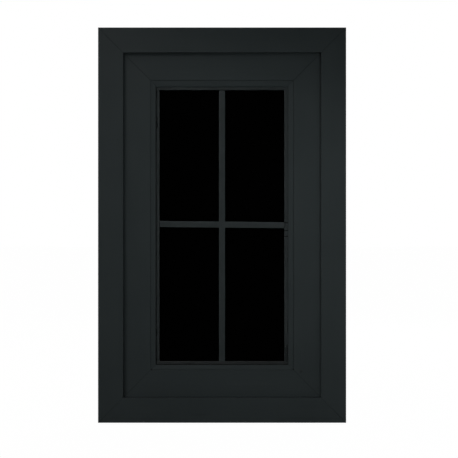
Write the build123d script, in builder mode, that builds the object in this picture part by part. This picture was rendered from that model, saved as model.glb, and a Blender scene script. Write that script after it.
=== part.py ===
"""Fixed vinyl shed window: snap-on flat casing, nailing fins, mitred chambered frame, glazing beads,
and a sealed glass unit with a grid of flat bars between its two panes.

The front faces -Y, up is +Z and the wall is the plane y = 0. The origin is the middle of the bottom
fin's back face. Sections are drawn once in two coordinates: how far out from the casing's inner edge
(negative towards the glass), and how far in front of the wall (negative inside the wall).
"""

import os
from math import cos, radians, sin

from build123d import *

# Overall size, over the casing
window_width = 635.0
window_height = 1012.0

# Casing: an open-backed channel that snaps over the edge of the frame
casing_width = 64.0
casing_depth = 22.0
casing_wall = 2.5
casing_round = 0.4
casing_lap = 10.0
casing_foot = 8.0
snap_clearance = 0.3
snap_barb = 1.2
snap_barb_height = 2.4

# Frame: a chambered extrusion with a rebate for the glass and a groove for the beads
face_setback = 11.0
frame_face = 70.0
frame_depth = 71.0
frame_wall = 2.8
frame_web = 1.6
chamber_count = 3
frame_ease = 0.4
leg_thickness = 8.0
leg_slope = 5.0
room_reveal = 6.0
room_round = 2.0
mitre_groove = 0.5

# Nailing fins: strips pushed into a kerf round the frame, with slots for the nails
fin_margin = 6.0
fin_thickness = 2.0
fin_gap = 0.3
fin_tongue = 6.0
fin_tongue_thickness = 1.2
slot_width = 5.0
slot_length = 14.0
slot_count_across = 2
slot_count_up = 4

# Glazing beads: a thin face, a fine groove beside the frame, and a leg whose foot clips into it
bead_width = 14.0
bead_drop = 0.6
bead_fall = 0.8
bead_nose = 0.6
bead_groove = 0.8
bead_groove_depth = 1.5
bead_leg = 2.2
bead_leg_depth = 7.0
bead_foot = 3.5
bead_foot_height = 2.5
clip_clearance = 0.2

# Sealed glass unit and its gaskets; the unit sits low in the rebate and a little to the left
glass_setback = 2.9
unit_drop = 1.7
unit_shift = 0.6
pane_thickness = 2.5
cavity = 12.0
edge_clearance = 4.0
outer_gasket = 0.5
inner_gasket = 3.0
gasket_seat = 6.5
gasket_lip = 0.4
spacer_show = 8.6
spacer_width = 11.0
spacer_chamfer = 1.0
seal_film = 0.3
block_length = 60.0

# Grid between the panes; the cross bar sits a little high and out of level, the upright a little right
bar_width = 15.6
bar_thickness = 6.0
bar_bevel = 3.0
bar_bevel_depth = 0.4
bar_rise = 3.1
bar_lean = 0.5
upright_shift = 0.35
end_gap = 0.8
top_gap = 0.7
keeper_width = 9.0
keeper_thickness = 3.0

# Saw kerfs left in the right-hand spacer beside the cross bar, by their height above the unit's middle
kerf_width = 2.4
kerf_depth = 6.0
upper_kerf = 8.0
middle_kerf = -11.8
lower_kerf = -27.2

# Levels in front of the wall
face = casing_depth - face_setback
back = face - frame_depth
glass_front = face - glass_setback
glass_back = glass_front - 2 * pane_thickness - cavity
cavity_front = glass_front - pane_thickness
cavity_back = glass_back + pane_thickness
bead_back = glass_front + outer_gasket
leg_front = glass_back - inner_gasket
leg_back = leg_front - leg_thickness
clip_end = bead_back - bead_leg_depth
foot_level = clip_end + bead_foot_height / 2
barb_level = face / 2 + fin_thickness / 2

# Lines out from the casing's inner edge
rebate = -frame_face
sight = rebate - bead_width
room_sight = rebate - room_reveal
glass_edge = rebate - edge_clearance
spacer_inner = sight - spacer_show
spacer_outer = spacer_inner + spacer_width
fin_inner = casing_lap + fin_gap
fin_outer = casing_width - casing_foot - fin_margin
fin_middle = (fin_inner + fin_outer) / 2

# The rectangle of the casing's inner edge, to which every section is referred
half_width = window_width / 2 - casing_width
half_height = window_height / 2 - casing_width
centre = Vector(0, 0, half_height + fin_middle)
unit_centre = centre - Vector(unit_shift, 0, unit_drop)
front = Vector(0, -1, 0)
sides = {
    "head": (Vector(0, 0, 1), half_height, half_width),
    "sill": (Vector(0, 0, -1), half_height, half_width),
    "left": (Vector(-1, 0, 0), half_width, half_height),
    "right": (Vector(1, 0, 0), half_width, half_height),
}

os.makedirs("parts", exist_ok=True)


def block(out_from, front_from, out_to, front_to, mode=Mode.ADD):
    """Draw a rectangle of a section between two corners."""
    with Locations((out_from, front_from)):
        Rectangle(out_to - out_from, front_to - front_from, align=Align.MIN, mode=mode)


def chambers(out_from, front_from, out_to, front_to):
    """Cut a row of equal chambers, with webs between them, out of a section."""
    width = (out_to - out_from - (chamber_count - 1) * frame_web) / chamber_count
    for column in range(chamber_count):
        start = out_from + column * (width + frame_web)
        block(start, front_from, start + width, front_to, Mode.SUBTRACT)


def section_plane(side, middle):
    """The plane in which a side's section is drawn, with the front as its second direction."""
    out, reach, _ = sides[side]
    return Plane(origin=middle + out * reach, x_dir=out, z_dir=out.cross(front))


def mitre_plane(side, end, middle):
    """The 45-degree plane at one end of a side, facing away from it."""
    out, reach, half_run = sides[side]
    along = out.cross(front) * end
    return Plane(origin=middle + out * reach + along * half_run, z_dir=along - out)


def groove_plane(side, end, crest):
    """The plane that bevels a mitre's front edge, for a face that passes a point at a slope."""
    out, reach, half_run = sides[side]
    line, level, slope = crest
    along = out.cross(front) * end
    point = centre + out * (reach + line) + along * (half_run + line) + front * (level - mitre_groove)
    return Plane(origin=point, z_dir=(along - out).normalized() + (front - out * slope).normalized())


def mitred_bars(name, profile, middle=centre, crest=None, cutter=None):
    """Make the four sides of one mitred surround from a single section."""
    for side, (_, _, half_run) in sides.items():
        with BuildPart() as bar:
            with BuildSketch(section_plane(side, middle)):
                add(profile)
            extrude(amount=half_run + casing_width, both=True)
            for end in (-1, 1):
                split(bisect_by=mitre_plane(side, end, middle), keep=Keep.BOTTOM)
                if crest:
                    split(bisect_by=groove_plane(side, end, crest), keep=Keep.BOTTOM)
            if cutter:
                add(cutter, mode=Mode.SUBTRACT)
        bar.part.label = f"{name}_{side}"
        export_step(bar.part, f"parts/{name}_{side}.step")


# Casing section: front wall, inner edge resting on the frame, outer leg with a foot on the wall,
# and a snap leg whose barb hooks behind the frame's edge
snap_inner = casing_lap + snap_clearance
with BuildSketch() as casing:
    block(0, casing_depth - casing_wall, casing_width, casing_depth)
    block(0, face, casing_wall, casing_depth)
    block(casing_width - casing_wall, 0, casing_width, casing_depth)
    block(casing_width - casing_foot, 0, casing_width, casing_wall)
    block(snap_inner, barb_level - snap_barb_height / 2, snap_inner + casing_wall, casing_depth)
    block(snap_inner - snap_barb, barb_level - snap_barb_height / 2, snap_inner,
          barb_level + snap_barb_height / 2)
    fillet(casing.vertices().group_by(Axis.Y)[-1], radius=casing_round)
mitred_bars("casing", casing.sketch, crest=(0, casing_depth, 0))

# Frame section: outline with the glazing rebate and the inside leg, then grooves, then chambers
with BuildSketch() as frame:
    with BuildLine():
        Polyline((casing_lap, face), (rebate, face), (rebate, leg_front), (sight, leg_front),
                 (sight, leg_back), (room_sight, leg_back - leg_slope), (room_sight, back),
                 (casing_lap, back), close=True)
    make_face()
    fillet(frame.vertices().group_by(Axis.Y)[-1].sort_by(Axis.X)[0], radius=frame_ease)
    fillet(frame.vertices().group_by(Axis.Y)[0].sort_by(Axis.X)[0], radius=room_round)
    fillet(frame.vertices().group_by(Axis.X)[0].sort_by(Axis.Y)[0], radius=room_round)
    barb_half = snap_barb_height / 2 + clip_clearance
    block(casing_lap - snap_barb, barb_level - barb_half, casing_lap, barb_level + barb_half,
          Mode.SUBTRACT)
    tongue_half = fin_tongue_thickness / 2 + clip_clearance / 2
    block(casing_lap - fin_tongue - clip_clearance, fin_thickness / 2 - tongue_half, casing_lap,
          fin_thickness / 2 + tongue_half, Mode.SUBTRACT)
    foot_half = bead_foot_height / 2 + clip_clearance
    block(rebate, foot_level - foot_half, rebate + bead_foot + clip_clearance,
          foot_level + foot_half, Mode.SUBTRACT)
    front_row = fin_thickness / 2 - tongue_half - frame_wall
    chambers(rebate + bead_foot + clip_clearance + frame_wall, front_row,
             casing_lap - fin_tongue - clip_clearance - frame_wall, face - frame_wall)
    chambers(rebate + frame_wall, leg_front, casing_lap - frame_wall, front_row - frame_web)
    chambers(room_sight + frame_wall, back + frame_wall, casing_lap - frame_wall,
             leg_front - frame_web)
mitred_bars("frame", frame.sketch, crest=(0, face, 0))

# Nailing fin section: a flat strip with a thinner tongue in the frame's kerf; then its nail slots
with BuildSketch() as fin:
    block(fin_inner, 0, fin_outer, fin_thickness)
    block(casing_lap - fin_tongue, (fin_thickness - fin_tongue_thickness) / 2, fin_inner,
          (fin_thickness + fin_tongue_thickness) / 2)
with BuildPart() as nail_slots:
    for side, count in (("head", slot_count_across), ("sill", slot_count_across),
                        ("left", slot_count_up), ("right", slot_count_up)):
        out, reach, half_run = sides[side]
        slot_row = Plane(origin=centre + out * (reach + fin_middle), x_dir=out.cross(front), z_dir=front)
        with BuildSketch(slot_row):
            with GridLocations(2 * half_run / count, 0, count, 1):
                SlotOverall(slot_length, slot_width)
        extrude(amount=fin_thickness)
mitred_bars("fin", fin.sketch, cutter=nail_slots.part)

# Glazing bead section: the face falls a little towards the glass, the leg runs down the rebate
bead_face = face - bead_drop
with BuildSketch() as bead:
    with BuildLine():
        Polyline((rebate, clip_end), (rebate - bead_leg, clip_end), (rebate - bead_leg, bead_back),
                 (sight, bead_back), (sight, bead_face - bead_fall), (rebate - bead_groove, bead_face),
                 (rebate - bead_groove, bead_face - bead_groove_depth),
                 (rebate, bead_face - bead_groove_depth), close=True)
    make_face()
    fillet(bead.vertices().group_by(Axis.X)[0].sort_by(Axis.Y)[-1], radius=bead_nose)
    block(rebate, foot_level - bead_foot_height / 2, rebate + bead_foot,
          foot_level + bead_foot_height / 2)
mitred_bars("bead", bead.sketch, crest=(rebate, bead_face, bead_fall / bead_width))

# Gaskets on both faces of the glass unit, each with a lip past the sight line
with BuildSketch() as outer_strip:
    block(sight - gasket_lip, glass_front, sight + gasket_seat, bead_back)
mitred_bars("outer_gasket", outer_strip.sketch)

with BuildSketch() as inner_strip:
    block(sight - gasket_lip, leg_front, sight + gasket_seat, glass_back)
mitred_bars("inner_gasket", inner_strip.sketch)

# Spacer between the panes, a film of butyl clear of both, and the seal that fills the edge outside it
with BuildSketch() as spacer:
    block(spacer_inner, cavity_back + seal_film, spacer_outer, cavity_front - seal_film)
    chamfer(spacer.vertices().group_by(Axis.X)[0], length=spacer_chamfer)
with BuildPart() as kerfs:
    spacer_middle = half_width + (spacer_inner + spacer_outer) / 2
    spacer_front = front * (cavity_front - seal_film)
    for height in (upper_kerf, middle_kerf, lower_kerf):
        with Locations(unit_centre + spacer_front + Vector(spacer_middle, 0, height)):
            Box(spacer_width, 2 * kerf_depth, kerf_width)
mitred_bars("spacer", spacer.sketch, middle=unit_centre, cutter=kerfs.part)

with BuildSketch() as seal:
    block(spacer_outer, cavity_back, glass_edge, cavity_front)
mitred_bars("edge_seal", seal.sketch, middle=unit_centre)

# Panes
for pane_name, pane_back in (("outer_pane", cavity_front), ("inner_pane", glass_back)):
    with BuildPart() as pane:
        with BuildSketch(Plane(origin=unit_centre + front * pane_back, x_dir=(1, 0, 0), z_dir=front)):
            Rectangle(2 * (half_width + glass_edge), 2 * (half_height + glass_edge))
        extrude(amount=pane_thickness)
    pane.part.label = pane_name
    export_step(pane.part, f"parts/{pane_name}.step")

# Setting blocks that carry the unit on the bottom of the rebate, behind the bead's leg
block_front = clip_end - clip_clearance
with BuildPart() as setting_blocks:
    bed = centre - Vector(0, 0, half_height + rebate)
    with BuildSketch(Plane(origin=bed, x_dir=(1, 0, 0), z_dir=(0, 0, 1))):
        with Locations((0, -(block_front + glass_back) / 2)):
            with GridLocations(half_width + glass_edge, 0, 2, 1):
                Rectangle(block_length, block_front - glass_back)
    extrude(amount=edge_clearance - unit_drop)
setting_blocks.part.label = "setting_blocks"
export_step(setting_blocks.part, "parts/setting_blocks.step")

# Grid bars: one section with bevelled edges; the cross bar runs through, and the upright is coped
# to it above and below
with BuildSketch() as bar_section:
    with BuildLine():
        half_bar, half_thick = bar_width / 2, bar_thickness / 2
        flat, edge = half_bar - bar_bevel, half_thick - bar_bevel_depth
        Polyline((-half_bar, -edge), (-flat, -half_thick), (flat, -half_thick), (half_bar, -edge),
                 (half_bar, edge), (flat, half_thick), (-flat, half_thick), (-half_bar, edge),
                 close=True)
    make_face()

light_width = half_width + spacer_inner
light_height = half_height + spacer_inner
grid_middle = unit_centre + front * (glass_front + glass_back) / 2
cross_middle = grid_middle + Vector(0, 0, bar_rise)
cross_up = Vector(sin(radians(bar_lean)), 0, cos(radians(bar_lean)))
cross_half = light_width - end_gap

with BuildPart() as cross_bar:
    with BuildSketch(Plane(origin=cross_middle, x_dir=cross_up, z_dir=cross_up.cross(front))):
        add(bar_section.sketch)
    extrude(amount=light_width + bar_width, both=True)
    for end in (-1, 1):
        split(bisect_by=Plane(origin=cross_middle + Vector(end * cross_half, 0, 0), z_dir=(end, 0, 0)),
              keep=Keep.BOTTOM)
cross_bar.part.label = "grid_bar_cross"
export_step(cross_bar.part, "parts/grid_bar_cross.step")

upright_middle = grid_middle + Vector(upright_shift, 0, 0)
upright_foot = upright_middle - Vector(0, 0, light_height - end_gap)
for upright_name, kept in (("grid_bar_upper", Keep.TOP), ("grid_bar_lower", Keep.BOTTOM)):
    with BuildPart() as upright:
        with BuildSketch(Plane(origin=upright_foot, x_dir=(1, 0, 0), z_dir=(0, 0, 1))):
            add(bar_section.sketch)
        extrude(amount=2 * light_height - end_gap - top_gap)
        add(cross_bar.part, mode=Mode.SUBTRACT)
        split(bisect_by=Plane(origin=cross_middle, z_dir=cross_up), keep=kept)
    upright.part.label = upright_name
    export_step(upright.part, f"parts/{upright_name}.step")

# Keepers that hold the four bar ends on the spacer
cross_tilt = sin(radians(bar_lean)) / cos(radians(bar_lean))
with BuildPart() as grid_keepers:
    for end in (-1, 1):
        with Locations(cross_middle + Vector(end * (cross_half + end_gap / 2), 0,
                                             -end * cross_half * cross_tilt)):
            Box(end_gap, keeper_thickness, keeper_width)
    with Locations(upright_middle + Vector(0, 0, light_height - top_gap / 2)):
        Box(keeper_width, keeper_thickness, top_gap)
    with Locations(upright_foot - Vector(0, 0, end_gap / 2)):
        Box(keeper_width, keeper_thickness, end_gap)
grid_keepers.part.label = "grid_keepers"
export_step(grid_keepers.part, "parts/grid_keepers.step")
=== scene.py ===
"""Finishes for a fixed vinyl shed window: materials, joint lines, squeezed-out sealant, dark strips, laps and
plugs of painted shade, painted light under the head bead, and a plain stage.
"""

from math import atan, cos, radians, sin

import bpy
from bpy.props import FloatProperty, FloatVectorProperty, PointerProperty
from mathutils import Matrix, Vector


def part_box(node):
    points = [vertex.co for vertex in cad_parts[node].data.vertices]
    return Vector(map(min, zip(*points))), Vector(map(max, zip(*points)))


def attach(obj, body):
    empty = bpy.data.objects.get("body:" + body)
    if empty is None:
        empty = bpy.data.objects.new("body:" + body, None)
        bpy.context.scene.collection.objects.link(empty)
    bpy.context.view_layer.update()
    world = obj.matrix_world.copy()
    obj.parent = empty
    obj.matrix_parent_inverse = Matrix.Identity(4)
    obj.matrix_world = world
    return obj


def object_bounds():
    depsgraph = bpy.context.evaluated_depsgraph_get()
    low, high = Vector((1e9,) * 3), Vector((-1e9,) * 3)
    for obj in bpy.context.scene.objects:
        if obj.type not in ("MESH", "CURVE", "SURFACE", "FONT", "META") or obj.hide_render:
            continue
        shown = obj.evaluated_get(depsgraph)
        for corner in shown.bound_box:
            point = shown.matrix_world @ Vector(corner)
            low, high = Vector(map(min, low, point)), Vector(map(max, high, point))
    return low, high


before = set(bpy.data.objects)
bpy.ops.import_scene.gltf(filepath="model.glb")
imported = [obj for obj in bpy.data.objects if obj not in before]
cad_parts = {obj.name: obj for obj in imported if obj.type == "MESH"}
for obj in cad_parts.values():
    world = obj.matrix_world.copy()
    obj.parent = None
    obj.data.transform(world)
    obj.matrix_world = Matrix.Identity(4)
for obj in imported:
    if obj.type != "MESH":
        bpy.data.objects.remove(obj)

bl_info = {
    "name": "Shed window finishes",
    "version": (1, 0, 0),
    "blender": (4, 5, 0),
    "location": "3D View > Sidebar > Shed window",
    "description": "Dresses a fixed vinyl shed window and sets up its studio",
    "category": "Object",
}

MM = 0.001
SIDES = ("head", "sill", "left", "right")
LEVEL = ("head", "sill")
CAD_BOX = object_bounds()
CENTRE = (CAD_BOX[0] + CAD_BOX[1]) / 2

# The bead's visible face, as in the solid: its width, and how far it falls towards the glass
BEAD_WIDTH = 14 * MM
BEAD_FALL = 0.8 * MM

# Photograph: its frame in pixels, the window's middle there and the casing's width in pixels
PHOTO_SIDE = 458
PHOTO_MIDDLE = (222.09, 225.15)
PHOTO_WINDOW_WIDTH = 248.09
PIXEL = (CAD_BOX[1].x - CAD_BOX[0].x) / PHOTO_WINDOW_WIDTH

# Marks on the vinyl in the photograph: where, half width and half height in pixels, and how plain.
# Rubs are paler than the vinyl, scratches and nicks darker.
LEFT_FRAME_RUB = ((142, 238), (0.5, 37), 0.25)
BOTTOM_FRAME_RUB = ((252, 384.5), (34, 2.2), 0.3)
BOTTOM_CASING_SCRATCH = ((200, 414.9), (14, 1.7), 0.5)
LEFT_CASING_NICK = ((117.5, 139.5), (0.9, 0.9), 2.0)
RIGHT_FRAME_NICK = ((301.4, 372), (1.9, 1.7), 2.1)

# Real die lines and drawing lines are finer than a pixel, so they are drawn wider, to show in the render
DIE_LINE_WIDTH = 2.5 * MM
DRAWING_LINE_WIDTH = 1.5 * MM
GRAIN_LENGTH = 160 * MM

# How large the patches are: haze on the vinyl, breaks in its rubs and scratches, thick and thin lacquer,
# flow marks in moulded pieces, lumps and dust in sealant, dust on glass
HAZE_SIZE = 90 * MM
BREAK_SIZE = 3 * MM
LACQUER_PATCH = 25 * MM
FLOW_MARK = 2 * MM
SEALANT_LUMP = 3 * MM
DUST_PATCH = 40 * MM

# Lines in the mitres: how much shorter than the mitre, how deep in its groove, and the rounding of their
# ridges as a share of their width
JOINT_SHORT = 3 * MM
JOINT_DEPTH = 0.42 * MM
JOINT_RIDGE = 0.25

# Fillets of sealant: rows of points across, step of the points along, and thickness
FILLET_ROWS = 6
FILLET_STEP = 2 * MM
FILLET_BODY = 0.2 * MM
ROW_SLACK = 0.01 * MM

# Waves of a fillet's free edge: their size, and the level of the texture that moves nothing
WANDER_SIZE = 14 * MM
WANDER_LEVEL = 0.45

# Sealant on the glass, past a fillet's edge: still full, already thin, and the thin film's cover
FILM_FULL = 0.2 * MM
FILM_THIN = 0.9 * MM
FILM_COVER = 0.13

# Where sealant spread over the glass: pixel along the side, half length and reach in pixels
SMEARS = {
    "head": ((157.5, 4, 0.5), (189.5, 4, 0.7)),
    "sill": ((190, 5, 0.6), (272, 6, 0.5), (287, 3, 0.6)),
    "left": ((93, 4, 0.5), (117.5, 1.3, 1.0), (124, 3.6, 1.7), (333, 3.5, 0.8), (362, 3, 0.8)),
    "right": ((128, 2.5, 0.6), (255, 8, 0.5), (327, 7, 0.7), (350, 4, 3.0), (358, 5.5, 3.2)),
}
# Half length of the edge that a smear is pulled by, and the free-edge weight under which points stay put
SMEAR_START = 1.6 * MM
HELD_WEIGHT = 0.1

# Heights of the saw kerfs in the right-hand spacer, in pixels down, and their width as in the solid
SPACER_KERFS = (222.69, 230.42, 236.44)
KERF_WIDTH = 2.4 * MM
# Plugs in the kerfs, dark sealant that is painted shade for the kerfs' own shadow: depth, play in the width
# of spacer and kerf, setback from the face, eased edges
PLUG_DEPTH = 4 * MM
PLUG_SIDE_PLAY = 0.4 * MM
PLUG_KERF_PLAY = 0.1 * MM
PLUG_SETBACK = 0.1 * MM
PLUG_EASE = 0.15 * MM

# Dabs of sealant at the lower corners of the beads, in pixels
BEAD_CORNER_DABS = {"left": (151.4, 370.4), "right": (293.4, 369.9)}
# A dab: how it is squashed, where its back is cut and how hard it is pressed, as shares of its width
DAB_SQUASH = (1, 0.6, 0.9)
DAB_CUT = 0.06
DAB_PRESS = 0.12
DAB_LUMP = 0.8 * MM

# Stage, in metres: the floor, and how much of its own white it shows; the felt, how far behind the camera
# it hangs, how much longer than that reach the piece on the floor is, and that piece's lift
FLOOR_SIDE = 60
FLOOR_WHITE = 0.99
FELT_SIDE = 16
FELT_BEHIND = 1.2
FELT_PAST = 0.6
FELT_LIFT = 2 * MM

# Lamps: side in metres, place, aim from the window's middle, and spread in degrees
LAMPS = {
    "key": (4.0, (-2.1, -3.2, 3.1), (-0.1, 0, -0.1), 40),
    "fill": (1.2, (1.6, -3.7, 0.3), (0.25, 0, -0.02), 20),
    "back": (2.0, (1.2, 2.6, 2.0), (0, 0, 0), 180),
}

# Edge of the soft shade on the upper right corner: a place on it in pixels, and its fall to the right
SHADE_EDGE = (300, 60)
SHADE_FALL = 0.38
# The flag that casts it, in metres: width and height, and how far it hangs from the window
FLAG_SIZE = (3, 1)
FLAG_AWAY = 0.5


def linear(code):
    """An sRGB hex colour as linear red, green and blue."""
    parts = [int(code[i:i + 2], 16) / 255 for i in (1, 3, 5)]
    return tuple(c / 12.92 if c <= 0.04045 else ((c + 0.055) / 1.055) ** 2.4 for c in parts)


def rgba(colour):
    """A colour with full alpha, as node sockets take it."""
    return (*colour, 1)


def at_pixel(across, down):
    """A point of the photograph as x and z on the window, in metres."""
    return (CENTRE.x + (across - PHOTO_MIDDLE[0]) * PIXEL, CENTRE.z - (down - PHOTO_MIDDLE[1]) * PIXEL)


def corner(node_side, node_level, x_sign, z_sign, inner):
    """A corner of a mitred surround, from the boxes of an upright and a level member."""
    side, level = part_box(node_side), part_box(node_level)
    x = min(abs(side[0].x), abs(side[1].x)) if inner else max(abs(side[0].x), abs(side[1].x))
    z = [abs(level[i].z - CENTRE.z) for i in (0, 1)]
    return Vector((x_sign * x, 0, CENTRE.z + z_sign * (min(z) if inner else max(z))))


def colour_value(name, code, description):
    """A colour that the panel offers."""
    return FloatVectorProperty(name=name, description=description, subtype="COLOR",
                               default=linear(code), min=0, max=1)


def length_value(name, default, description):
    """A length that the panel offers."""
    return FloatProperty(name=name, description=description, default=default, min=0, unit="LENGTH")


def side_lengths(name, default, description):
    """Four lengths that the panel offers, for head, sill, left and right."""
    return FloatVectorProperty(name=name, description=f"{description}: head, sill, left, right",
                               size=4, default=default, min=0, unit="LENGTH")


def power_value(name, default, description):
    """A lamp's power that the panel offers."""
    return FloatProperty(name=name, description=description, default=default, min=0, unit="POWER")


class WindowColours(bpy.types.PropertyGroup):
    vinyl: colour_value("Vinyl", "#1A2021", "Colour of casing, frame, beads and fins")
    die_line: colour_value("Die lines", "#1D2324", "Paler lines that the die left in the vinyl")
    rub: colour_value("Rub", "#2A2F30", "Vinyl where something rubbed it pale")
    scratch: colour_value("Scratch", "#0A0C0D", "Dirt in scratches and nicks of the vinyl")
    lacquer: colour_value("Bar lacquer", "#202627", "Colour of the grid bars")
    spacer: colour_value("Spacer lacquer", "#1E2425", "Colour of the spacer round the glass")
    sill_spacer: colour_value("Sill spacer", "#161A1B", "The bottom spacer, with a film of sealant")
    rubber: colour_value("Rubber", "#171A1B", "Colour of gaskets, setting blocks and keepers")
    sealant: colour_value("Sealant", "#0A0B0B", "Colour of the butyl sealant")
    # Greyer than the other sealant: painted light, lifting the head bead's shadow on the spacer behind the
    # glass
    head_sealant_painted_light: colour_value("Head sealant", "#242A2B", "The sealant under the head bead, greyer")
    pane: colour_value("Inner pane", "#010101", "Colour of the black inner pane")


class WindowWear(bpy.types.PropertyGroup):
    joint_width: length_value("Joint line", 0.45 * MM, "Width of the dark line in each mitre")
    # The foot line is painted shade: a dark strip for the shadow gap between bottom casing and frame
    foot_shade_width: length_value("Foot line", 1.3 * MM, "Width of the line between bottom casing and frame")
    # The laps over the sill and left beads are painted shade: dark sealant laid over the left bead's shaded
    # inner edge and over the highlight on the sill bead's nose
    sealant_and_shade_over: side_lengths("Sealant over beads", (0, 1.0 * MM, 1.5 * MM, 0),
                               "How far sealant laps over the beads")
    # The head's 2 mm past its bead carries the greyer head fillet, painted light over the bead's shadow
    sealant_past: side_lengths("Sealant past beads", (2.0 * MM, 0.5 * MM, 0.1 * MM, 0.15 * MM),
                               "How far sealant shows past the beads")
    sealant_wave: length_value("Sealant wave", 0.2 * MM, "How far the sealant's edge wanders")
    sealant_height: length_value("Sealant height", 1.65 * MM, "How far the sealant stands off the glass")
    dab_size: length_value("Dab size", 3.2 * MM, "Width of the sealant dabs at the bead corners")


class WindowStage(bpy.types.PropertyGroup):
    distance: FloatProperty(name="Camera distance", description="From the casing's face to the camera",
                            default=3.0, min=1, unit="LENGTH")
    key_power: power_value("Key light", 22.5, "Power of the soft light at upper left")
    fill_power: power_value("Fill light", 2.45, "Power of the soft light beside the camera")
    back_power: power_value("Back light", 60, "Power of the soft light behind the window")
    ambient: FloatProperty(name="Ambient", description="Strength of the even light from all round",
                           default=0.42, min=0)
    floor: colour_value("Floor", "#E4E4E2", "Colour of the floor")


GROUPS = {"window_colours": WindowColours, "window_wear": WindowWear, "window_stage": WindowStage}


def new_material(name):
    """A node material with nothing in it yet, and its node tree."""
    material = bpy.data.materials.new(name)
    material.use_nodes = True
    material.node_tree.nodes.clear()
    return material, material.node_tree


def textured(name):
    """A new material, its node tree, and the place on the piece that its textures go by."""
    material, tree = new_material(name)
    return material, tree, node(tree, "ShaderNodeTexCoord").outputs["Object"]


def node(tree, kind, inputs=None, **settings):
    """Add a node with its settings; an input that is a socket is linked, any other is a value."""
    made = tree.nodes.new(kind)
    for key, value in settings.items():
        setattr(made, key, value)
    for key, value in (inputs or {}).items():
        if isinstance(value, bpy.types.NodeSocket):
            tree.links.new(value, made.inputs[key])
        else:
            made.inputs[key].default_value = value
    return made


def noise(tree, place, size, detail):
    """Noise in patches of about the given size."""
    return node(tree, "ShaderNodeTexNoise", {
        "Vector": place, "Scale": 1 / size, "Detail": detail}).outputs["Fac"]


def grain(tree, place, along, width, detail, roughness):
    """Noise drawn out along X or Z into lines of about the given width."""
    across, run = 1 / width, 1 / GRAIN_LENGTH
    stretch = (run, across, across) if along == "X" else (across, across, run)
    drawn_out = node(tree, "ShaderNodeMapping", {"Vector": place, "Scale": stretch}).outputs[0]
    return node(tree, "ShaderNodeTexNoise", {
        "Vector": drawn_out, "Scale": 1, "Detail": detail, "Roughness": roughness}).outputs["Fac"]


def calc(tree, operation, *values):
    """One step of arithmetic."""
    return node(tree, "ShaderNodeMath", dict(enumerate(values)), operation=operation).outputs[0]


def remap(tree, value, low, high, new_low, new_high):
    """A value's span from low to high, brought to a new span and held within it."""
    return node(tree, "ShaderNodeMapRange", {
        0: value, 1: low, 2: high, 3: new_low, 4: new_high}).outputs[0]


def mix(tree, share, first, second):
    """Two colours, mixed by the second one's share."""
    return node(tree, "ShaderNodeMix", {0: share, 6: first, 7: second}, data_type="RGBA").outputs[2]


def two_tone(tree, share, colour, contrast):
    """A colour that runs from darker to paler."""
    dark = rgba([c * (1 - contrast) for c in colour])
    pale = rgba([c * (1 + contrast) for c in colour])
    return mix(tree, share, dark, pale)


def relief(tree, height, strength, depth):
    """Fine bumps that follow a texture."""
    return node(tree, "ShaderNodeBump", {
        "Height": height, "Strength": strength, "Distance": depth}).outputs[0]


def coat(tree, inputs):
    """Finish a material with one surface, and give that surface's node."""
    surface = node(tree, "ShaderNodeBsdfPrincipled", inputs)
    node(tree, "ShaderNodeOutputMaterial", {"Surface": surface.outputs[0]})
    return surface


def satin_vinyl(name, along, rubs, scratches):
    """Extruded PVC with a satin skin: smooth, with faint die lines along each length and a little haze."""
    colours = bpy.context.scene.window_colours
    material, tree, place = textured(name)
    lines = grain(tree, place, along, DIE_LINE_WIDTH, 4, 0.6)
    haze = calc(tree, "MULTIPLY", noise(tree, place, HAZE_SIZE, 3), 0.4)
    shade = calc(tree, "MULTIPLY_ADD", lines, 0.6, haze)
    tone = remap(tree, shade, 0.35, 0.65, 0, 1)
    colour = mix(tree, tone, rgba(colours.vinyl), rgba(colours.die_line))
    broken = noise(tree, place, BREAK_SIZE, 3)
    marks = [(*rub, colours.rub) for rub in rubs] + [(*scratch, colours.scratch) for scratch in scratches]
    for spot, half, plain, mark_colour in marks:
        x, z = at_pixel(*spot)
        # The mark reaches through the whole depth, so that only x and z count
        near = node(tree, "ShaderNodeMapping", {
            "Vector": place, "Location": (x, 0, z), "Scale": (half[0] * PIXEL, 1e6, half[1] * PIXEL)},
            vector_type="TEXTURE")
        far = node(tree, "ShaderNodeVectorMath", {0: near.outputs[0]}, operation="LENGTH").outputs["Value"]
        worn = remap(tree, far, 1, 0.3, 0, plain)
        colour = mix(tree, calc(tree, "MULTIPLY", worn, broken), colour, rgba(mark_colour))
    coat(tree, {
        "Base Color": colour, "Roughness": remap(tree, shade, 0.35, 0.65, 0.42, 0.48),
        "Normal": relief(tree, lines, 0.1, 0.05 * MM), "IOR": 1.53, "Specular IOR Level": 0.25})
    return material


def lacquered_aluminium(name, colour, along, gloss):
    """Roll-formed aluminium under a thin black lacquer: smooth, with the faintest drawing lines."""
    material, tree, place = textured(name)
    lines = grain(tree, place, along, DRAWING_LINE_WIDTH, 3, 0.5)
    patches = remap(tree, noise(tree, place, LACQUER_PATCH, 3), 0.3, 0.7, -0.25, 0.25)
    shade = calc(tree, "ADD", lines, patches)
    coat(tree, {
        "Base Color": two_tone(tree, shade, colour, 0.15),
        "Roughness": remap(tree, lines, 0, 1, gloss, gloss + 0.12),
        "Normal": relief(tree, lines, 0.1, 0.1 * MM), "IOR": 1.5, "Specular IOR Level": 0.4})
    return material


def moulded_rubber(name, colour):
    """Moulded rubber or nylon: dark, smooth and faintly shiny, with a fine uneven skin."""
    material, tree, place = textured(name)
    flow = noise(tree, place, FLOW_MARK, 4)
    coat(tree, {
        "Base Color": two_tone(tree, flow, colour, 0.2), "Roughness": remap(tree, flow, 0, 1, 0.55, 0.7),
        "IOR": 1.5, "Specular IOR Level": 0.3})
    return material


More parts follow.
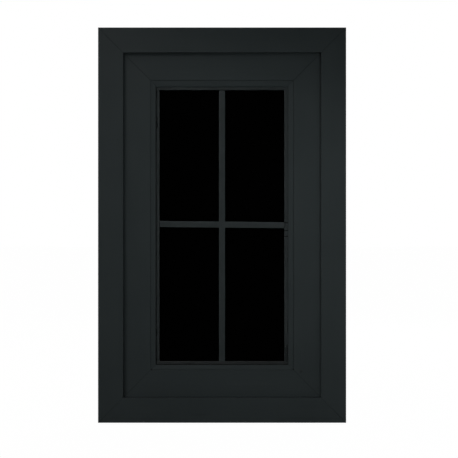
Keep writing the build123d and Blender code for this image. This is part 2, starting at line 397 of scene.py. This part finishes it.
def gunned_butyl(name, colour, wiped=None):
    """Butyl sealant from a gun: dark and dull, with a lumpy skin that holds dust. It is also the finish of
    the foot line, the kerf plugs and the bead laps, which are painted shade, and of the greyer head fillet,
    which is painted light.

    Where it is wiped over the glass it is thin enough for the spacer to show: wiped is the axis that runs
    away from the bead, and the places on it where the sealant is still full and where it is thin.
    """
    material, tree, place = textured(name)
    lumps = noise(tree, place, SEALANT_LUMP, 4)
    skin = coat(tree, {
        "Base Color": two_tone(tree, lumps, colour, 0.5), "Roughness": 0.8,
        "Normal": relief(tree, lumps, 0.3, 0.2 * MM), "IOR": 1.5, "Specular IOR Level": 0.08})
    if wiped:
        axis, full, thin = wiped
        away = node(tree, "ShaderNodeSeparateXYZ", {0: place}).outputs[axis]
        tree.links.new(remap(tree, away, full, thin, 1, FILM_COVER), skin.inputs["Alpha"])
    return material


def float_glass(name, colour, alpha):
    """Float glass: polished, with a film of dust that only roughens it a little."""
    material, tree, place = textured(name)
    dust = noise(tree, place, DUST_PATCH, 5)
    coat(tree, {
        "Base Color": rgba(colour), "Roughness": remap(tree, dust, 0.4, 0.8, 0.02, 0.08),
        "IOR": 1.52, "Alpha": alpha})
    return material


def dress(names, material):
    """Give CAD nodes a material."""
    for name in names:
        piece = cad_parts[name]
        piece.data.materials.clear()
        piece.data.materials.append(material)


def pick(piece, wanted):
    """Go into edit mode with only the wanted points of a piece selected."""
    bpy.ops.object.mode_set(mode="OBJECT")
    for part in (*piece.data.polygons, *piece.data.edges):
        part.select = False
    for point in piece.data.vertices:
        point.select = wanted(point)
    bpy.ops.object.mode_set(mode="EDIT")
    bpy.ops.mesh.select_mode(type="VERT")


def copy_of(first):
    """A copy of a modelled piece, with a mesh of its own."""
    copy = first.copy()
    copy.data = first.data.copy()
    bpy.context.scene.collection.objects.link(copy)
    return copy


def settle(piece, name, material):
    """Name a finished piece, put its place in its mesh, and let it ride with the window."""
    bpy.ops.object.select_all(action="DESELECT")
    piece.select_set(True)
    bpy.context.view_layer.objects.active = piece
    bpy.ops.object.transform_apply(location=True, rotation=True, scale=True)
    piece.name = piece.data.name = name
    piece.data.materials.clear()
    piece.data.materials.append(material)
    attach(piece, "root")


class WINDOW_OT_vinyl(bpy.types.Operator):
    """Give casing, frame, beads and fins their satin vinyl"""
    bl_idname = "window.vinyl"
    bl_label = "Vinyl"

    def execute(self, context):
        level = satin_vinyl("satin_vinyl_level", "X", (BOTTOM_FRAME_RUB,), (BOTTOM_CASING_SCRATCH,))
        upright = satin_vinyl("satin_vinyl_upright", "Z",
                              (LEFT_FRAME_RUB,), (LEFT_CASING_NICK, RIGHT_FRAME_NICK))
        for kind in ("casing", "frame", "bead", "fin"):
            for side in SIDES:
                dress([f"{kind}_{side}"], level if side in LEVEL else upright)
        return {"FINISHED"}


class WINDOW_OT_glass_unit(bpy.types.Operator):
    """Give the panes, spacer, seal, gaskets and setting blocks their finishes"""
    bl_idname = "window.glass_unit"
    bl_label = "Glass unit"

    def execute(self, context):
        colours = context.scene.window_colours
        dress(["outer_pane"], float_glass("clear_float_glass", (0, 0, 0), 0.06))
        dress(["inner_pane"], float_glass("black_float_glass", colours.pane, 1.0))
        rubber = moulded_rubber("extruded_gasket_rubber", colours.rubber)
        dress([f"{face}_gasket_{side}" for face in ("outer", "inner") for side in SIDES], rubber)
        dress([f"edge_seal_{side}" for side in SIDES], gunned_butyl("butyl_edge_seal", colours.sealant))
        dress(["setting_blocks"], moulded_rubber("moulded_block_nylon", colours.rubber))
        dress(["spacer_head"], lacquered_aluminium("spacer_lacquer_head", colours.spacer, "X", 0.5))
        dress(["spacer_sill"], lacquered_aluminium("spacer_lacquer_sill", colours.sill_spacer, "X", 0.6))
        dress(["spacer_left", "spacer_right"],
              lacquered_aluminium("spacer_lacquer_upright", colours.spacer, "Z", 0.5))
        return {"FINISHED"}


class WINDOW_OT_grid(bpy.types.Operator):
    """Give the bars between the panes their lacquer"""
    bl_idname = "window.grid"
    bl_label = "Grid bars"

    def execute(self, context):
        colours = context.scene.window_colours
        dress(["grid_bar_cross"], lacquered_aluminium("bar_lacquer_level", colours.lacquer, "X", 0.38))
        dress(["grid_bar_upper", "grid_bar_lower"],
              lacquered_aluminium("bar_lacquer_upright", colours.lacquer, "Z", 0.38))
        dress(["grid_keepers"], moulded_rubber("moulded_keeper_nylon", colours.rubber))
        return {"FINISHED"}


class WINDOW_OT_joint_lines(bpy.types.Operator):
    """Lay a thin dark line of sealant in the groove of every mitre, and at the foot of the bottom casing a
    dark strip that is painted shade for the gap between casing and frame
    """
    bl_idname = "window.joint_lines"
    bl_label = "Joint lines"

    def execute(self, context):
        wear = context.scene.window_wear
        butyl = gunned_butyl("butyl_joint", context.scene.window_colours.sealant)
        faces = {kind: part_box(f"{kind}_head")[0].y for kind in ("casing", "frame", "bead")}
        for kind, face in faces.items():
            lines = [self.ends(kind, face, x_sign, z_sign) for x_sign in (-1, 1) for z_sign in (-1, 1)]
            start, end = lines[0]
            first = self.strip(context, (end - start).length - JOINT_SHORT, wear.joint_width)
            strips = [self.lay(first, start, end) for start, end in lines]
            bpy.data.objects.remove(first)
            bpy.ops.object.select_all(action="DESELECT")
            for strip in strips:
                strip.select_set(True)
            context.view_layer.objects.active = strips[0]
            bpy.ops.object.transform_apply(location=True, rotation=True, scale=True)
            bpy.ops.object.join()
            settle(context.object, f"{kind}_joint_lines", butyl)
        # Painted shade: a dark strip along the foot of the bottom casing, for the shadow gap between casing
        # and frame
        start, end = [corner("casing_left", "casing_head", x_sign, -1, True) for x_sign in (-1, 1)]
        foot = self.strip(context, (end - start).length, wear.foot_shade_width)
        foot.location = (start + end) / 2 + Vector((0, faces["frame"], 0))
        settle(foot, "casing_foot_line", butyl)
        return {"FINISHED"}

    def ends(self, kind, face, x_sign, z_sign):
        """Where a mitre's line begins and ends on its face."""
        inner = corner("casing_left", "casing_head", x_sign, z_sign, True) + Vector((0, face, 0))
        if kind == "casing":
            return corner("casing_left", "casing_head", x_sign, z_sign, False) + Vector((0, face, 0)), inner
        glass_side = corner("bead_left", "bead_head", x_sign, z_sign, True) + Vector((0, face, 0))
        groove_side = glass_side + Vector((x_sign, 0, z_sign)) * BEAD_WIDTH
        if kind == "frame":
            return inner, groove_side
        return groove_side, glass_side + Vector((0, BEAD_FALL, 0))

    def strip(self, context, length, width):
        """A square bar along X, turned on edge, with its ridges rounded."""
        bpy.ops.object.select_all(action="DESELECT")
        bpy.ops.mesh.primitive_cube_add(size=1, rotation=(radians(45), 0, 0))
        bar = context.object
        bar.scale = (length, width, width)
        bpy.ops.object.transform_apply(location=True, rotation=True, scale=True)
        bar.modifiers.new("ridge", "BEVEL").width = JOINT_RIDGE * width
        bpy.ops.object.modifier_apply(modifier="ridge")
        return bar

    def lay(self, first, start, end):
        """A copy of the bar, laid along one mitre and sunk in its groove."""
        front = Vector((0, -1, 0))
        run = (end - start).normalized()
        outward = (front - run * front.dot(run)).normalized()
        copy = copy_of(first)
        copy.location = (start + end) / 2 - outward * JOINT_DEPTH
        copy.rotation_euler = Matrix((run, outward.cross(run), outward)).transposed().to_euler()
        return copy


class WINDOW_OT_squeezed_sealant(bpy.types.Operator):
    """Run a wavering fillet of squeezed-out sealant from the beads down to the outer glass; its laps over the
    sill and left beads are painted shade, and the greyer fillet under the head bead is painted light
    """
    bl_idname = "window.squeezed_sealant"
    bl_label = "Squeezed-out sealant"

    def execute(self, context):
        colours = context.scene.window_colours
        for side in SIDES:
            axis, edge, inward = self.bead_edge(side)
            past = self.laps(context, side)[1]
            full = edge + inward * (past + FILM_FULL)
            thin = edge + inward * (past + FILM_THIN)
            # Under the head bead the fillet is greyer: painted light over the bead's shadow on the spacer
            colour = colours.head_sealant_painted_light if side == "head" else colours.sealant
            butyl = gunned_butyl(f"butyl_fillet_{side}", colour, (axis, full, thin))
            settle(self.run(context, side), f"squeezed_sealant_{side}", butyl)
        return {"FINISHED"}

    def bead_edge(self, side):
        """A bead's edge at the glass: the axis it is measured on, its place, and the way to the glass."""
        axis = 2 if side in LEVEL else 0
        inward = 1 if side in ("sill", "left") else -1
        return axis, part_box(f"bead_{side}")[1 if inward > 0 else 0][axis], inward

    def laps(self, context, side):
        """How far a side's sealant laps over its bead, and how far it shows past it; the laps over the beads
        are painted shade, and the head's wide greyer fillet is painted light.
        """
        wear = context.scene.window_wear
        return wear.sealant_and_shade_over[SIDES.index(side)], wear.sealant_past[SIDES.index(side)]

    def run(self, context, side):
        """One side's fillet: a strip bent down to the glass, its free edge wavering and smeared."""
        line = self.flat_strip(context, side)
        self.bend(context, line, side)
        self.wander(context, line, side)
        self.smear(line, side)
        body = line.modifiers.new("body", "SOLIDIFY")
        body.thickness, body.offset = FILLET_BODY, 0
        bpy.ops.object.modifier_apply(modifier="body")
        return line

    def flat_strip(self, context, side):
        """A flat strip on the glass along a bead's edge, from its lap on the bead to its free edge."""
        across, edge, inward = self.bead_edge(side)
        over, past = self.laps(context, side)
        middle = CENTRE.copy()
        middle[across] = edge + inward * (past - over) / 2
        middle.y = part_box("outer_pane")[0].y
        length = 2 * (corner("bead_left", "bead_head", 1, 1, True) - CENTRE)[2 - across]
        bpy.ops.object.select_all(action="DESELECT")
        bpy.ops.mesh.primitive_grid_add(
            x_subdivisions=int(length / FILLET_STEP), y_subdivisions=FILLET_ROWS - 1, size=1,
            location=middle, rotation=(radians(90), 0 if side in LEVEL else radians(90), 0))
        line = context.object
        line.scale = (length, over + past, 1)
        bpy.ops.object.transform_apply(location=True, rotation=True, scale=True)
        return line

    def bend(self, context, line, side):
        """Mark the strip's free edge, and lift its rows off the glass, highest at the bead."""
        across, edge, inward = self.bead_edge(side)
        over, past = self.laps(context, side)
        free = line.vertex_groups.new(name="free_edge")
        for point in line.data.vertices:
            out = (point.co[across] - edge) * inward / past
            free.add([point.index], max(0.0, min(1.0, out)), "REPLACE")
        for row in range(FILLET_ROWS):
            out = row * (over + past) / (FILLET_ROWS - 1) - over
            lift = context.scene.window_wear.sealant_height * min(1, 1 - out / past)
            pick(line, lambda point: abs((point.co[across] - edge) * inward - out) < ROW_SLACK)
            bpy.ops.transform.translate(value=(0, -lift, 0))
        bpy.ops.object.mode_set(mode="OBJECT")

    def wander(self, context, line, side):
        """Let the strip's free edge waver."""
        across, _, inward = self.bead_edge(side)
        clouds = bpy.data.textures.new(f"wander_{side}", "CLOUDS")
        clouds.noise_scale, clouds.noise_depth = WANDER_SIZE, 3
        wave = line.modifiers.new("wander", "DISPLACE")
        wave.texture, wave.texture_coords, wave.vertex_group = clouds, "LOCAL", "free_edge"
        wave.direction, wave.mid_level = "XYZ"[across], WANDER_LEVEL
        wave.strength = inward * context.scene.window_wear.sealant_wave
        bpy.ops.object.modifier_apply(modifier="wander")

    def smear(self, line, side):
        """Pull the free edge out over the glass in places; what lies on the bead is hidden and stays."""
        across, _, inward = self.bead_edge(side)
        along = 2 - across
        pick(line, lambda point: sum(group.weight for group in point.groups) < HELD_WEIGHT)
        bpy.ops.mesh.hide()
        for pixel, half, reach in SMEARS[side]:
            there = at_pixel(pixel, pixel)[along // 2]
            pick(line, lambda point: abs(point.co[along] - there) < SMEAR_START and not point.hide)
            pull = [0, 0, 0]
            pull[across] = inward * reach * PIXEL
            bpy.ops.transform.translate(value=pull, use_proportional_edit=True,
                                        proportional_edit_falloff="SPHERE", proportional_size=half * PIXEL)
        bpy.ops.mesh.reveal()
        bpy.ops.object.mode_set(mode="OBJECT")


class WINDOW_OT_kerf_plugs(bpy.types.Operator):
    """Fill the saw kerfs in the right-hand spacer with dark sealant, struck off at a slant: painted shade for
    the kerfs' own shadow
    """
    bl_idname = "window.kerf_plugs"
    bl_label = "Kerf plugs"

    def execute(self, context):
        butyl = gunned_butyl("butyl_plug", context.scene.window_colours.sealant)
        low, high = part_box("spacer_right")
        first = self.plug(context, (high.x - low.x) - PLUG_SIDE_PLAY)
        for number, pixel in enumerate(SPACER_KERFS, 1):
            copy = copy_of(first)
            copy.location = ((low.x + high.x) / 2, low.y, at_pixel(0, pixel)[1])
            settle(copy, f"kerf_plug_{number}", butyl)
        bpy.data.objects.remove(first)
        return {"FINISHED"}

    def plug(self, context, width):
        """A bar as wide as the kerf, with its lower front edge pushed back and its edges eased."""
        height = KERF_WIDTH - PLUG_KERF_PLAY
        bpy.ops.object.select_all(action="DESELECT")
        bpy.ops.mesh.primitive_cube_add(size=1, location=(0, PLUG_DEPTH / 2 + PLUG_SETBACK, 0))
        plug = context.object
        plug.scale = (width, PLUG_DEPTH, height)
        bpy.ops.object.transform_apply(location=True, rotation=True, scale=True)
        pick(plug, lambda point: point.co.y < PLUG_DEPTH / 2 and point.co.z < 0)
        bpy.ops.transform.translate(value=(0, height, 0))
        bpy.ops.object.mode_set(mode="OBJECT")
        plug.modifiers.new("eased", "BEVEL").width = PLUG_EASE
        bpy.ops.object.modifier_apply(modifier="eased")
        return plug


class WINDOW_OT_corner_dabs(bpy.types.Operator):
    """Press a small dab of sealant into the groove at each lower corner of the beads"""
    bl_idname = "window.corner_dabs"
    bl_label = "Corner dabs"

    def execute(self, context):
        butyl = gunned_butyl("butyl_dab", context.scene.window_colours.sealant)
        first = self.dab(context)
        for side, pixel in BEAD_CORNER_DABS.items():
            copy = copy_of(first)
            x, z = at_pixel(*pixel)
            copy.location = (x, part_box("frame_sill")[0].y, z)
            settle(copy, f"corner_dab_{side}", butyl)
        bpy.data.objects.remove(first)
        return {"FINISHED"}

    def dab(self, context):
        """A ball cut flat behind, pressed low and wrung a little out of round."""
        size = context.scene.window_wear.dab_size
        bpy.ops.object.select_all(action="DESELECT")
        bpy.ops.mesh.primitive_uv_sphere_add(segments=20, ring_count=12, radius=size / 2)
        bpy.ops.object.mode_set(mode="EDIT")
        bpy.ops.mesh.select_all(action="SELECT")
        bpy.ops.transform.resize(value=DAB_SQUASH)
        bpy.ops.mesh.bisect(plane_co=(0, DAB_CUT * size, 0), plane_no=(0, 1, 0),
                            clear_outer=True, use_fill=True)
        bpy.ops.object.mode_set(mode="OBJECT")
        dab = context.object
        lumps = bpy.data.textures.new("dab_lumps", "CLOUDS")
        lumps.noise_scale = DAB_LUMP
        press = dab.modifiers.new("press", "DISPLACE")
        press.texture, press.texture_coords, press.strength = lumps, "LOCAL", DAB_PRESS * size
        bpy.ops.object.modifier_apply(modifier="press")
        bpy.ops.object.shade_smooth_by_angle(angle=radians(40))
        return dab


class WINDOW_OT_stage(bpy.types.Operator):
    """Set up the floor, the lights, the white surround and the camera"""
    bl_idname = "window.stage"
    bl_label = "Stage"

    def execute(self, context):
        stage = context.scene.window_stage
        context.scene.view_settings.view_transform = "Standard"
        self.floor(stage)
        self.surround(context, stage)
        self.cards(stage)
        self.lights(stage)
        self.camera(context, stage)
        return {"FINISHED"}

    def looked_at(self, tree):
        """1 where the camera, a reflection or a clear pane looks, 0 for light that only falls on things."""
        path = node(tree, "ShaderNodeLightPath").outputs
        seen = calc(tree, "MAXIMUM", path["Is Camera Ray"], path["Is Glossy Ray"])
        return calc(tree, "MAXIMUM", seen, path["Is Transmission Ray"])

    def floor(self, stage):
        """A large pale floor under the window; what it shows the camera is mostly its own white."""
        bpy.ops.object.select_all(action="DESELECT")
        bpy.ops.mesh.primitive_plane_add(size=FLOOR_SIDE, location=(0, 0, CAD_BOX[0].z))
        floor = bpy.context.object
        floor.name = "floor"
        material, tree = new_material("pale_floor")
        lit = node(tree, "ShaderNodeBsdfDiffuse", {"Color": rgba(stage.floor)}).outputs[0]
        white = node(tree, "ShaderNodeEmission", {"Color": (1, 1, 1, 1), "Strength": 1}).outputs[0]
        share = calc(tree, "MULTIPLY", self.looked_at(tree), FLOOR_WHITE)
        mixed = node(tree, "ShaderNodeMixShader", {0: share, 1: lit, 2: white}).outputs[0]
        node(tree, "ShaderNodeOutputMaterial", {"Surface": mixed})
        floor.data.materials.append(material)

    def surround(self, context, stage):
        """White where the camera looks and in reflections, soft grey for the light it gives."""
        world = bpy.data.worlds.new("white_surround")
        context.scene.world = world
        world.use_nodes = True
        tree = world.node_tree
        tree.nodes.clear()
        level = remap(tree, self.looked_at(tree), 0, 1, stage.ambient, 1)
        light = node(tree, "ShaderNodeBackground", {"Color": (1, 1, 1, 1), "Strength": level}).outputs[0]
        node(tree, "ShaderNodeOutputWorld", {"Surface": light})

    def cards(self, stage):
        """Black felt behind the camera and on the floor before the window, seen only in reflections."""
        reach = stage.distance + FELT_BEHIND
        self.card("felt_behind_camera", (0, -reach, CENTRE.z), (radians(90), 0, 0), (FELT_SIDE, FELT_SIDE, 1))
        self.card("felt_on_floor", (0, -reach / 2, CAD_BOX[0].z + FELT_LIFT), (0, 0, 0),
                  (FELT_SIDE, reach + FELT_PAST, 1))

    def card(self, name, place, turn, size, shades=False):
        """A felt card that shows only in reflections, or only shades."""
        bpy.ops.object.select_all(action="DESELECT")
        bpy.ops.mesh.primitive_plane_add(size=1, location=place, rotation=turn)
        card = bpy.context.object
        card.scale, card.name = size, name
        material, tree = new_material(f"black_{name}")
        felt = node(tree, "ShaderNodeBsdfDiffuse", {"Color": rgba(linear("#050505"))}).outputs[0]
        node(tree, "ShaderNodeOutputMaterial", {"Surface": felt})
        card.data.materials.append(material)
        card.visible_camera = card.visible_diffuse = card.visible_transmission = False
        card.visible_glossy, card.visible_shadow = not shades, shades

    def lights(self, stage):
        """Soft boxes with grids: the key at upper left, a fill beside the camera; and a soft light behind."""
        for kind, (size, place, aim, spread) in LAMPS.items():
            lamp = bpy.data.lights.new(f"{kind}_light", "AREA")
            lamp.energy = getattr(stage, f"{kind}_power")
            lamp.size, lamp.spread = size, radians(spread)
            light = bpy.data.objects.new(f"{kind}_light", lamp)
            light.location = place
            facing = CENTRE + Vector(aim) - Vector(place)
            light.rotation_euler = facing.to_track_quat("-Z", "Y").to_euler()
            light.visible_camera = False
            light.visible_glossy = kind != "fill"
            bpy.context.scene.collection.objects.link(light)
        self.flag(Vector(LAMPS["key"][1]))

    def flag(self, key):
        """A flag before the key light; its lower edge leaves the upper right corner in soft shade."""
        x, z = at_pixel(*SHADE_EDGE)
        shaded = Vector((x, CAD_BOX[0].y, z))
        tilt = atan(SHADE_FALL)
        edge = shaded + (key - shaded).normalized() * FLAG_AWAY
        middle = edge + Vector((sin(tilt), 0, cos(tilt))) * FLAG_SIZE[1] / 2
        self.card("flag", middle, (radians(90), tilt, 0), (*FLAG_SIZE, 1), shades=True)

    def camera(self, context, stage):
        """Square on to the window and as far off its middle as the photograph's frame is."""
        x, z = at_pixel(PHOTO_SIDE / 2, PHOTO_SIDE / 2)
        lens = bpy.data.cameras.new("camera")
        lens.sensor_width = 36
        lens.lens = lens.sensor_width * stage.distance / (PHOTO_SIDE * PIXEL)
        camera = bpy.data.objects.new("camera", lens)
        camera.location = (x, CAD_BOX[0].y - stage.distance, z)
        camera.rotation_euler = (radians(90), 0, 0)
        context.scene.collection.objects.link(camera)
        context.scene.camera = camera


STEPS = (WINDOW_OT_vinyl, WINDOW_OT_glass_unit, WINDOW_OT_grid, WINDOW_OT_joint_lines,
         WINDOW_OT_squeezed_sealant, WINDOW_OT_kerf_plugs, WINDOW_OT_corner_dabs, WINDOW_OT_stage)


class WINDOW_PT_finishes(bpy.types.Panel):
    """The window's finishing steps, in order, and the values they use"""
    bl_label = "Shed window"
    bl_idname = "WINDOW_PT_finishes"
    bl_space_type = "VIEW_3D"
    bl_region_type = "UI"
    bl_category = "Shed window"

    def draw(self, context):
        for step in STEPS:
            self.layout.operator(step.bl_idname)
        for name, group in GROUPS.items():
            for value in group.__annotations__:
                self.layout.prop(getattr(context.scene, name), value)


def register():
    """Add the value groups to every scene, and the operators and the panel to Blender."""
    for group in GROUPS.values():
        bpy.utils.register_class(group)
    for name, group in GROUPS.items():
        setattr(bpy.types.Scene, name, PointerProperty(type=group))
    for step in (*STEPS, WINDOW_PT_finishes):
        bpy.utils.register_class(step)


def unregister():
    """Take everything out again, in reverse."""
    for step in (WINDOW_PT_finishes, *reversed(STEPS)):
        bpy.utils.unregister_class(step)
    for name in GROUPS:
        delattr(bpy.types.Scene, name)
    for group in GROUPS.values():
        bpy.utils.unregister_class(group)


def main():
    """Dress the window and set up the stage."""
    register()
    bpy.ops.window.vinyl()
    bpy.ops.window.glass_unit()
    bpy.ops.window.grid()
    bpy.ops.window.joint_lines()
    bpy.ops.window.squeezed_sealant()
    bpy.ops.window.kerf_plugs()
    bpy.ops.window.corner_dabs()
    bpy.ops.window.stage()


if __name__ == "__main__":
    main()
